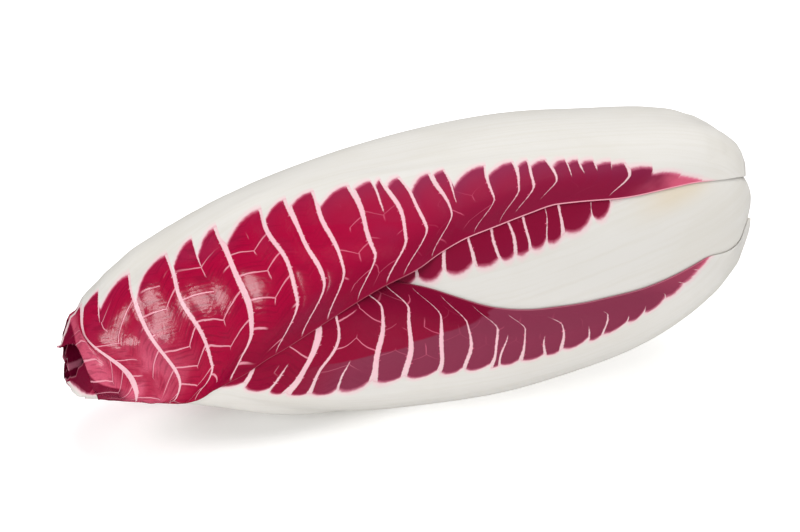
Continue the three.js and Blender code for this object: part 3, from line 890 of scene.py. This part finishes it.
bladeShape = {
    "puff": 0.5,         # how deep the side veins lie between the puffed panels
    "tipPuff": 0.95,
    "ridge": 0.42,       # how far a side vein stands up from there
    "ridgeHalf": 0.6,
    "wobble": 0.45,
    "ragged": 0.6,
    "edge": 0.42,        # thickness at the margin
    "baseEdge": 0.2,
    "leastRib": 0.45,    # thickness left where a rib is evened out
    "baseRows": 6,       # below the first side vein
    "crowding": 0.62,    # below 1 the rows lie closer beside a vein
    "lastColumn": 0.972,
    "rim": (0.985, 0.993, 0.998, 1),
    "tipRows": 0.004,    # the last row ends this share of the head before the tip
    "tipEdge": 0.003,    # and no vertex comes closer to it than this
    "weakVein": 0.55,    # veins of a smaller size end early
    "plainVein": 0.9,    # size of a vein that has none of its own
    "weakReach": 13,
}


# rows of the grid: several between two side veins, closest beside a vein
def leafRows(leaf):
    stops = [0] + leaf["veins"] + [leaf["tip"] - bladeShape["tipRows"]]
    steps = np.linspace(0, 1, leaf["rowsPerVein"] + 1)[:-1]
    steps = 0.5 - 0.5 * np.sign(0.5 - steps) * np.abs(1 - 2 * steps) ** bladeShape["crowding"]
    steps[0] = 0
    run, count = [], []
    for i in range(len(stops) - 1):
        pieces = steps if i > 0 else np.linspace(0, 1, bladeShape["baseRows"] + 1)[:-1]
        run += list(stops[i] + (stops[i + 1] - stops[i]) * pieces)
        count += list(i + pieces)
    run.append(stops[-1])
    count.append(len(stops) - 1)
    return np.array(run), np.array(count), np.diff(stops) * sideLength


def leafColumns(leaf):
    fewer, more = leaf["columns"]
    last, rim = bladeShape["lastColumn"], bladeShape["rim"]
    right = np.concatenate([np.linspace(0, last, more - 3), rim])
    left = np.concatenate([np.linspace(0, last, fewer - 3), rim])
    return np.concatenate([-right[::-1], left[1:]])


# rolling mean of a grid of values, over this many rows and columns
def rollingMean(grid, rowsWide, columnsWide):
    for axis, wide in ((0, rowsWide), (1, columnsWide)):
        pad = [(0, 0), (0, 0)]
        pad[axis] = (wide, wide)
        for _ in range(2):
            padded = np.pad(grid, pad, mode="edge")
            weights = np.ones(2 * wide + 1) / (2 * wide + 1)
            grid = np.apply_along_axis(np.convolve, axis, padded, weights, mode="valid")
    return grid


# how far a row has moved along the head at this share of the way to the margin
def rowShift(leaf, start, count, side, share):
    fading = 1 - smooth(0.7, 0.97, start / leaf["tip"])
    straight = 1 - smooth(0.7, 0.95, start)
    plain = leaf["arch"] * fading * share**3
    plain = plain - leaf["lean"] * straight * smooth(0, 0.07, start) * np.sin(math.pi * share)
    plain = plain - leaf["slant"] * smooth(0.6, 0.9, start) * share
    bowed = leaf["earlyAt"](start) * smooth(0, 0.33, share) * (1 - smooth(0.33, 0.75, share))
    bowed = bowed - leaf["driftAt"](start) * smooth(*leaf["driftFrom"], share)
    hooked = leaf["hook"] * (1 - smooth(0.72, 0.85, start))
    bowed = bowed + hooked * smooth(leaf["hookFrom"], 1, share)
    plain = plain - leaf["tipCut"] * smooth(0.86, 0.96, start) * smooth(0.15, 0.7, share)
    wobble = np.sin(share * 9 + count * 1.1 + side) + 0.5 * np.sin(share * 19 - count * 2.3)
    bowed = bowed + bladeShape["wobble"] * wobble * smooth(0.1, 0.4, share)
    free = smooth(0.05, 0.2, start) * (1 - smooth(0.88, 0.97, start / leaf["tip"]))
    return plain + (bowed - plain) * free


def leafSpot(leaf, start, count, column):
    side = np.where(column > 0, 1, -1)
    share = np.abs(column)
    run = start + rowShift(leaf, start, count, side, share) / sideLength
    run = clamp(run, 0, leaf["tip"] - bladeShape["tipEdge"])
    reach = reachOf(leaf, side, run)
    ragged = np.sin(run * 170 + leaf["order"]) + 0.7 * np.sin(run * 263 + 2)
    ragged = bladeShape["ragged"] * ragged * smooth(0.68, 0.8, run) * smooth(0.85, 1, share)
    reach = reach + np.degrees(ragged / leafRadius(leaf, run)) * (reach > 20)
    turn = leaf["ribTurn"](run) + side * share * reach
    return run, turn, share, side, np.radians(share * reach) * leafRadius(leaf, run), reach


def vertexPlaces(mesh):
    flat = np.zeros(len(mesh.vertices) * 3)
    mesh.vertices.foreach_get("co", flat)
    return flat.reshape(-1, 3)


def turnOutwards():
    bpy.ops.object.mode_set(mode="EDIT")
    bpy.ops.mesh.select_all(action="SELECT")
    bpy.ops.mesh.normals_make_consistent(inside=False)
    bpy.ops.object.mode_set(mode="OBJECT")


def buildLeaf(leaf):
    start, count, gaps = leafRows(leaf)
    columns = leafColumns(leaf)
    rowCount, columnCount = len(start) - 1, len(columns) - 1
    bpy.ops.object.select_all(action="DESELECT")
    bpy.ops.mesh.primitive_grid_add(x_subdivisions=columnCount, y_subdivisions=rowCount, size=2)
    piece = bpy.context.object
    piece.name = leaf["name"].replace("leaf_", "leafBlade_")
    bpy.ops.object.mode_set(mode="EDIT")
    bpy.ops.mesh.select_all(action="SELECT")
    bpy.ops.mesh.extrude_region_move(TRANSFORM_OT_translate={"value": (0, 0, -0.1)})
    bpy.ops.object.mode_set(mode="OBJECT")

    mesh = piece.data
    flat = vertexPlaces(mesh)
    row = np.rint((flat[:, 1] + 1) / 2 * rowCount).astype(int)
    column = np.rint((flat[:, 0] + 1) / 2 * columnCount).astype(int)
    outside = flat[:, 2] > -0.05

    startGrid, columnGrid = np.meshgrid(start, columns, indexing="ij")
    countGrid = np.repeat(count[:, None], columnCount + 1, 1)
    run, turn, share, side, across, reach = leafSpot(leaf, startGrid, countGrid, columnGrid)
    radius = leafRadius(leaf, run)
    toEdge = np.radians((1 - share) * reach) * radius
    toTip = leaf["tip"] - bladeShape["tipEdge"] - run
    toEdge = np.minimum(toEdge, toTip * sideLength + 0.3)
    interval = np.minimum(np.floor(countGrid).astype(int), len(gaps) - 1)
    gap = gaps[interval]
    fraction = countGrid - np.floor(countGrid)
    near = (0.5 - np.abs(fraction - 0.5)) * gap
    past = np.abs(across * side - leaf["tipRibAt"](run)) - redStart(run) * leaf["ribScale"]
    past = past - leaf["tipRib"] * smooth(0.86, 0.91, run)
    past = past + leaf["redShift"] * smooth(0.22, 0.28, run)
    plainVein, weakVein = bladeShape["plainVein"], bladeShape["weakVein"]
    sizes = np.array([leaf["sizes"].get(i - 1, plainVein) for i in range(len(gaps) + 1)])
    sizes[0] = sizes[-1] = 0
    size = sizes[np.rint(countGrid).astype(int)]
    weak = size < weakVein
    veinReach = leaf["veinReachAt"](startGrid) * np.where(weak, 0.6, 1)
    shorter = np.minimum(veinReach, bladeShape["weakReach"])
    veinReach = np.where(weak & (startGrid > 0.4), shorter, veinReach)

    thickness = leafThickness(leaf, run, across, share)
    if leaf["outer"]:
        flush = (1 - smooth(0.05, 0.2, run)) * (1 - smooth(0, 14, toEdge))
        thickness = thickness + (bladeShape["baseEdge"] - thickness) * flush
        edge = bladeShape["edge"] - head["margin"]
        thickness = thickness + edge * (1 - smooth(0, 4, toEdge)) * (1 - flush)
    zone = smooth(-2, 4, past) * smooth(0, 3, toEdge) * smooth(2, 6, gap)
    panel = np.sin(math.pi * fraction) ** 0.8
    deeper = bladeShape["tipPuff"] - bladeShape["puff"]
    puff = bladeShape["puff"] + deeper * smooth(0.5, 0.7, run)
    strength = np.minimum(size, 1) * smooth(0, 4, veinReach - past)
    sink = puff * (1 - panel) * zone * (0.1 + 0.9 * strength)
    tipEnd = smooth(*head["tipFold"], startGrid * sideLength) * leaf["tipHollow"]
    sink = sink + tipEnd * smooth(0.3, 3.5, toEdge) * (1 - smooth(9, 12, toEdge))
    sink = sink - 0.5 * tipEnd * smooth(11, 13, toEdge) * (1 - smooth(15, 20, toEdge))
    ridge = bladeShape["ridge"] * (1 - smooth(0, bladeShape["ridgeHalf"] * 1.5, near))
    ridge = ridge * zone * strength
    rounding = 0.5 * thickness * (1 - smooth(0, 0.5, toEdge))
    under = settledHeight(leaf, run, turn, share, toEdge)
    whole = outsideHeight(run, turn)
    top = under + thickness
    if leaf["evenRib"]:      # the outer face of the rib runs evenly over what lies below
        even = rollingMean(top, 5, 11)
        onRib = (1 - smooth(-9, 1, past)) * (1 - smooth(*leaf["evenRib"], run))
        onRib = onRib * smooth(0.02, 0.1, run)
        top = top + np.maximum(even - top, bladeShape["leastRib"] - thickness) * onRib
    outerFace = place(run, turn, top - sink + ridge - rounding * 0.7, whole)
    innerFace = place(run, turn, under - sink * 0.8 + rounding * 0.3, whole)
    # flat on the floor where the head rests
    outerFace[..., 2] = np.maximum(outerFace[..., 2], 0)
    innerFace[..., 2] = np.maximum(innerFace[..., 2], head["restThickness"] * mm)

    points = np.where(outside[:, None], outerFace[row, column], innerFace[row, column])
    mesh.vertices.foreach_set("co", points.ravel())
    veinForm = np.stack([size[row, column], veinReach[row, column], outside.astype(float)], -1)
    # the same place told by the strong side veins alone
    stops = np.array([0] + leaf["veins"] + [leaf["tip"] - bladeShape["tipRows"]])
    strong = stops[(sizes > weakVein) | (sizes == 0)]
    strongCount = np.interp(startGrid, strong, np.arange(len(strong)))
    pair = np.minimum(strongCount.astype(int), len(strong) - 2)
    strongGap = np.diff(strong)[pair] * sideLength
    for name, values in (
        ("veinPlace", np.stack([countGrid, gap, past], -1)[row, column]),
        ("bladePlace", np.stack([across * side, startGrid * sideLength, toEdge], -1)[row, column]),
        ("veinForm", veinForm),
        ("branchPlace", np.stack([strongCount, strongGap, 0 * run], -1)[row, column]),
    ):
        attribute = mesh.attributes.new(name, "FLOAT_VECTOR", "POINT")
        attribute.data.foreach_set("vector", values.ravel())
    mesh.update()

    turnOutwards()
    bpy.ops.object.shade_smooth()
    mesh.materials.append(leafMaterial(leaf))
    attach(piece, "root")
    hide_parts(leaf["name"])
    return piece


triangles = 0
for leaf in leaves:
    piece = buildLeaf(leaf)
    triangles += sum(len(face.vertices) - 2 for face in piece.data.polygons)
print("leaf blades made:", len(leaves), "with", triangles, "triangles")


# a round body from the rings of a sphere; pointOn(ring, turn) gives the place of each vertex
def ringPiece(name, sides, rings, pointOn):
    bpy.ops.object.select_all(action="DESELECT")
    bpy.ops.mesh.primitive_uv_sphere_add(segments=sides, ring_count=rings, radius=1)
    piece = bpy.context.object
    piece.name = name
    mesh = piece.data
    flat = vertexPlaces(mesh)
    ring = np.rint(np.arccos(clamp(flat[:, 2], -1, 1)) / math.pi * rings)
    turn = np.degrees(np.arctan2(flat[:, 1], flat[:, 0]))
    turn = np.mod(np.rint(turn / 360 * sides), sides) * 360 / sides
    mesh.vertices.foreach_set("co", pointOn(ring.astype(int), turn).ravel())
    mesh.update()
    turnOutwards()
    bpy.ops.object.shade_smooth_by_angle(angle=math.radians(45))
    return piece


# a point given by its distance from the curved axis of the head
def axisPoint(x, radius, turn):
    angle = np.radians(turn)
    point = [x - head["centre"][0], -radius * np.cos(angle) - head["centre"][1],
             axisAt(x) + radius * np.sin(angle)]
    return np.stack(point, -1) * mm


heart = {
    "end": 0.77,
    "clearance": 0.45,
    "folds": 3,
    "foldDepth": 1.1,
    "foldEdge": 0.06,      # share of a fold that its step takes
    "closing": 0.5,        # how far it draws in before its tip
    "sides": 72,
    "rings": 90,
    "grain": (60, 700, 700),
    "grainDepth": 0.2,
    "cream": (0.82, 0.76, 0.62, 1),
    "blush": (0.78, 0.60, 0.52, 1),
    "red": (0.55, 0.05, 0.12, 1),
    "redFrom": (0.05, -0.07),
}


def heartPoint(ring, turn):
    run = heart["end"] * clamp((ring - 1) / (heart["rings"] - 2), 0, 1)
    _, radius, _, _ = heartSide(run)
    winding = turn / 360 * heart["folds"] + run * 2
    fold = winding - np.floor(winding)
    edge = heart["foldEdge"]
    step = np.where(fold > 1 - edge, (1 - fold) / edge * (1 - edge), fold)
    depth = heart["foldDepth"] * step * np.minimum(radius / 12, 1)
    closing = heart["closing"] * smooth(heart["end"] - 0.05, heart["end"], run)
    points = place(run, turn, -heart["clearance"] - depth - closing, 1 + 0 * run)
    firstX = float(heartSide(0)[0]) + 0.3
    lastX = float(heartSide(heart["end"])[0]) - 1.2
    for end, x in ((0, firstX), (heart["rings"], lastX)):
        points[ring == end] = axisPoint(np.array(x), np.array(0.0), 0)
    return points


def buildHeart():
    piece = ringPiece("heartBud", heart["sides"], heart["rings"], heartPoint)
    material, tree, shader = newMaterial("heartSkin", 0.5)
    spot = newNode(tree, "ShaderNodeTexCoord").outputs["Object"]
    lines = noise(tree, stretched(tree, spot, heart["grain"]), 1, 4)
    x = parts(tree, spot)[0]
    pale = blend(tree, ramp(tree, lines, 0.4, 0.65), heart["cream"], heart["blush"])
    colour = blend(tree, ramp(tree, x, *heart["redFrom"]), pale, heart["red"])
    tree.links.new(colour, shader.inputs["Base Color"])
    joinBump(tree, shader, lines, heart["grainDepth"])
    piece.data.materials.append(material)
    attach(piece, "root")
    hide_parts("heart")


buildHeart()
print("heart made")

stem = {
    "start": 1,
    "end": 12.6,
    "clearance": 0.35,
    "bevel": 0.5,
    "hollow": 0.5,         # of the cut face
    "sawMarks": 0.12,
    "sawSpacing": 2.1,     # radians of a mark for each millimetre
    "sides": 96,
    "sideRings": 14,
    "cutRings": 12,
    "fibre": (150, 1500, 1500),
    "grainDepth": 0.3,
    "middle": (0.72, 0.62, 0.42, 1),
    "rind": (0.80, 0.75, 0.60, 1),
    "ring": (0.45, 0.30, 0.16, 1),
    "ringAt": 0.86,        # of the radius
    "ringHalf": 0.07,
    "browned": (0.42, 0.25, 0.12, 1),
    "fibreColour": (0.5, 0.38, 0.22, 1),
}


def buildStem():
    x, radius, outX, outR = (float(value) for value in heartSide(0))

    def ringAt(height):
        ringX = x + height * outX + stem["clearance"] * outR
        return ringX, radius + height * outR - stem["clearance"] * outX

    firstX, firstR = ringAt(stem["start"])
    lastX, lastR = ringAt(stem["end"])
    profile = [(firstX, 0.0), (firstX, firstR * 0.5)]
    for share in np.linspace(0, 1, stem["sideRings"]):
        height = stem["start"] + (stem["end"] - stem["bevel"] - stem["start"]) * share
        profile.append(ringAt(height))
    for angle in (30, 60, 90):
        cornerX, cornerR = ringAt(stem["end"] - stem["bevel"])
        turned = math.radians(angle)
        profile.append((cornerX + (lastX - cornerX) * math.sin(turned),
                        cornerR - stem["bevel"] * (1 - math.cos(turned))))
    faceR = profile[-1][1]
    firstCut = len(profile)
    for share in np.linspace(1, 0, stem["cutRings"] + 1)[1:]:
        profile.append((lastX, faceR * share))
    profileX = np.array([point[0] for point in profile])
    profileR = np.array([point[1] for point in profile])

    def pointOn(ring, turn):
        angle = np.radians(turn)
        px, r = profileX[ring], profileR[ring]
        groove = np.minimum(0.12 * np.sin(7 * angle + 1) + 0.08 * np.sin(17 * angle), 0) - 0.05
        onSide = (ring > 1) & (ring < firstCut)
        r = np.where(onSide, r + groove, r)
        onCut = ring >= firstCut
        dish = stem["hollow"] * np.maximum(1 - (r / (faceR * 0.9)) ** 2, 0)
        mark = np.sin(r * stem["sawSpacing"] + 0.6 * np.sin(3 * angle))
        saw = stem["sawMarks"] * np.maximum(mark, 0) * (r > 0)
        px = np.where(onCut, px - dish - saw, px)
        point = axisPoint(px, r, turn)
        point[:, 2] = (axisAt(profileX[ring]) + r * np.sin(angle)) * mm
        return point

    piece = ringPiece("stemButt", stem["sides"], len(profile) - 1, pointOn)
    material, tree, shader = newMaterial("stemFlesh", 0.6)
    spot = newNode(tree, "ShaderNodeTexCoord").outputs["Object"]
    centreZ = float(axisAt(lastX)) * mm
    moved = newNode(tree, "ShaderNodeVectorMath", {"operation": "SUBTRACT"}, {
        0: spot, 1: ((lastX - head["centre"][0]) * mm, -head["centre"][1] * mm, centreZ)})
    fromMiddle = parts(tree, moved.outputs[0])
    radial = calc(tree, "SQRT", calc(tree, "ADD", calc(tree, "POWER", fromMiddle[1], 2),
                                     calc(tree, "POWER", fromMiddle[2], 2)))
    radial = calc(tree, "MULTIPLY", radial, 1 / (lastR * mm))
    blotch = noise(tree, spot, 320, 4)
    fibre = noise(tree, stretched(tree, spot, stem["fibre"]), 1, 3)
    uneven = calc(tree, "MULTIPLY_ADD", blotch, 0.25, radial)
    colour = blend(tree, ramp(tree, uneven, 0.5, 0.85), stem["middle"], stem["rind"])
    fromRing = calc(tree, "ABSOLUTE", calc(tree, "SUBTRACT", uneven, stem["ringAt"]))
    ringMask = ramp(tree, fromRing, 0, stem["ringHalf"], 1, 0)
    colour = blend(tree, calc(tree, "MULTIPLY", ringMask, 0.6), colour, stem["ring"])
    colour = blend(tree, ramp(tree, blotch, 0.55, 0.75, 0, 0.55), colour, stem["browned"])
    colour = blend(tree, ramp(tree, fibre, 0.55, 0.7, 0, 0.3), colour, stem["fibreColour"])
    tree.links.new(colour, shader.inputs["Base Color"])
    rough = ramp(tree, blotch, 0.3, 0.7, 0.5, 0.75)
    tree.links.new(rough, shader.inputs["Roughness"])
    height = calc(tree, "ADD", calc(tree, "MULTIPLY", fibre, 0.6), blotch)
    joinBump(tree, shader, height, stem["grainDepth"])
    piece.data.materials.append(material)
    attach(piece, "root")
    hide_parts("stem")


buildStem()
print("stem made")

view = {
    "target": (-3.641, -1.305, 39.6),
    "back": (-0.2258, -0.7875, 0.5736),     # from the target towards the camera
    "distance": 660.8,
    "lens": 100,
    "sensor": 36,
    "nearest": 0.01,
}


def addCamera():
    bpy.ops.object.camera_add()
    camera = bpy.context.object
    camera.data.lens = view["lens"]
    camera.data.sensor_width = view["sensor"]
    camera.data.clip_start = view["nearest"]
    target = Vector(view["target"]) * mm
    camera.location = target + Vector(view["back"]).normalized() * view["distance"] * mm
    camera.rotation_euler = (target - camera.location).to_track_quat("-Z", "Y").to_euler()
    bpy.context.scene.camera = camera


addCamera()

studio = {
    "floor": (0.87, 0.87, 0.87, 1),
    "glow": 0.37,        # of the floor as seen, none in the shade under the head
    "farGlow": 0.35,     # added to it further out
    "shade": {"middle": (-0.042, -0.01), "size": (0.07, 0.025)},
    "shadeEdge": (0.3, 0.75),     # in sizes of the shade
    "farEdge": (4, 12),
    "floorRoughness": 0.8,
    "floorSpecular": 0.2,
    "floorSize": 8,
    "bounce": 0.47,      # of the floor as light on the underside
    "world": 0.57,       # as light; the camera sees plain white
    "aim": (0, 0, 0.03),
    "softboxes": {
        "ceilingLight": {"place": (0.34, 0.3, 1.0), "size": 1.0, "watts": 9, "gloss": False},
        "frontReflector": {"place": (0.65, -0.85, 0.35), "size": 0.7, "watts": 0.9,
                           "gloss": False},
        "leftLight": {"place": (-0.8, -0.48, 0.56), "size": 0.35, "watts": 3.5, "gloss": True},
    },
}


def addSoftbox(name, box):
    bpy.ops.object.light_add(type="AREA", location=box["place"])
    lamp = bpy.context.object
    lamp.name = name
    lamp.data.shape = "SQUARE"
    lamp.data.size = box["size"]
    lamp.data.energy = box["watts"]
    lamp.visible_glossy = box["gloss"]
    toHead = Vector(studio["aim"]) - Vector(box["place"])
    lamp.rotation_euler = toHead.to_track_quat("-Z", "Y").to_euler()


for name, box in studio["softboxes"].items():
    addSoftbox(name, box)


def addWorld():
    world = bpy.data.worlds.new("studioWorld")
    bpy.context.scene.world = world
    world.use_nodes = True
    tree = world.node_tree
    background = tree.nodes["Background"].inputs
    background["Color"].default_value = (1, 1, 1, 1)
    seen = newNode(tree, "ShaderNodeLightPath").outputs["Is Camera Ray"]
    strength = calc(tree, "MULTIPLY_ADD", seen, 1 - studio["world"], studio["world"])
    tree.links.new(strength, background["Strength"])
    world.cycles_visibility.glossy = False     # only the left softbox shows as gloss


def addFloor():
    bpy.ops.mesh.primitive_plane_add(size=studio["floorSize"], location=(0, 0, 0))
    floor = bpy.context.object
    floor.name = "studioFloor"
    material, tree, shader = newMaterial("floorPaper", studio["floorRoughness"])
    shader.inputs["Base Color"].default_value = studio["floor"]
    shader.inputs["Specular IOR Level"].default_value = studio["floorSpecular"]
    shader.inputs["Emission Color"].default_value = (1, 1, 1, 1)

    spot = parts(tree, newNode(tree, "ShaderNodeTexCoord").outputs["Object"])
    shade = studio["shade"]
    away = [calc(tree, "DIVIDE", calc(tree, "SUBTRACT", spot[i], shade["middle"][i]),
                 shade["size"][i]) for i in (0, 1)]
    fromShade = newNode(tree, "ShaderNodeVectorMath", {"operation": "LENGTH"},
                        {0: vector(tree, *away)}).outputs["Value"]
    # the floor as seen glows to white except in an ellipse under the head: a painted shadow of
    # that shape
    glow = calc(tree, "ADD", ramp(tree, fromShade, *studio["shadeEdge"], 0, studio["glow"]),
                ramp(tree, fromShade, *studio["farEdge"], 0, studio["farGlow"]))
    seen = newNode(tree, "ShaderNodeLightPath").outputs["Is Camera Ray"]
    strength = newNode(tree, "ShaderNodeMix", {"data_type": "FLOAT"}, {
        0: seen, 2: studio["bounce"], 3: glow}).outputs[0]
    tree.links.new(strength, shader.inputs["Emission Strength"])
    floor.data.materials.append(material)
    floor.visible_glossy = False


addWorld()
addFloor()

bpy.context.scene.view_settings.view_transform = "Standard"
bpy.context.scene.view_settings.look = "None"
print("camera, light and floor set")
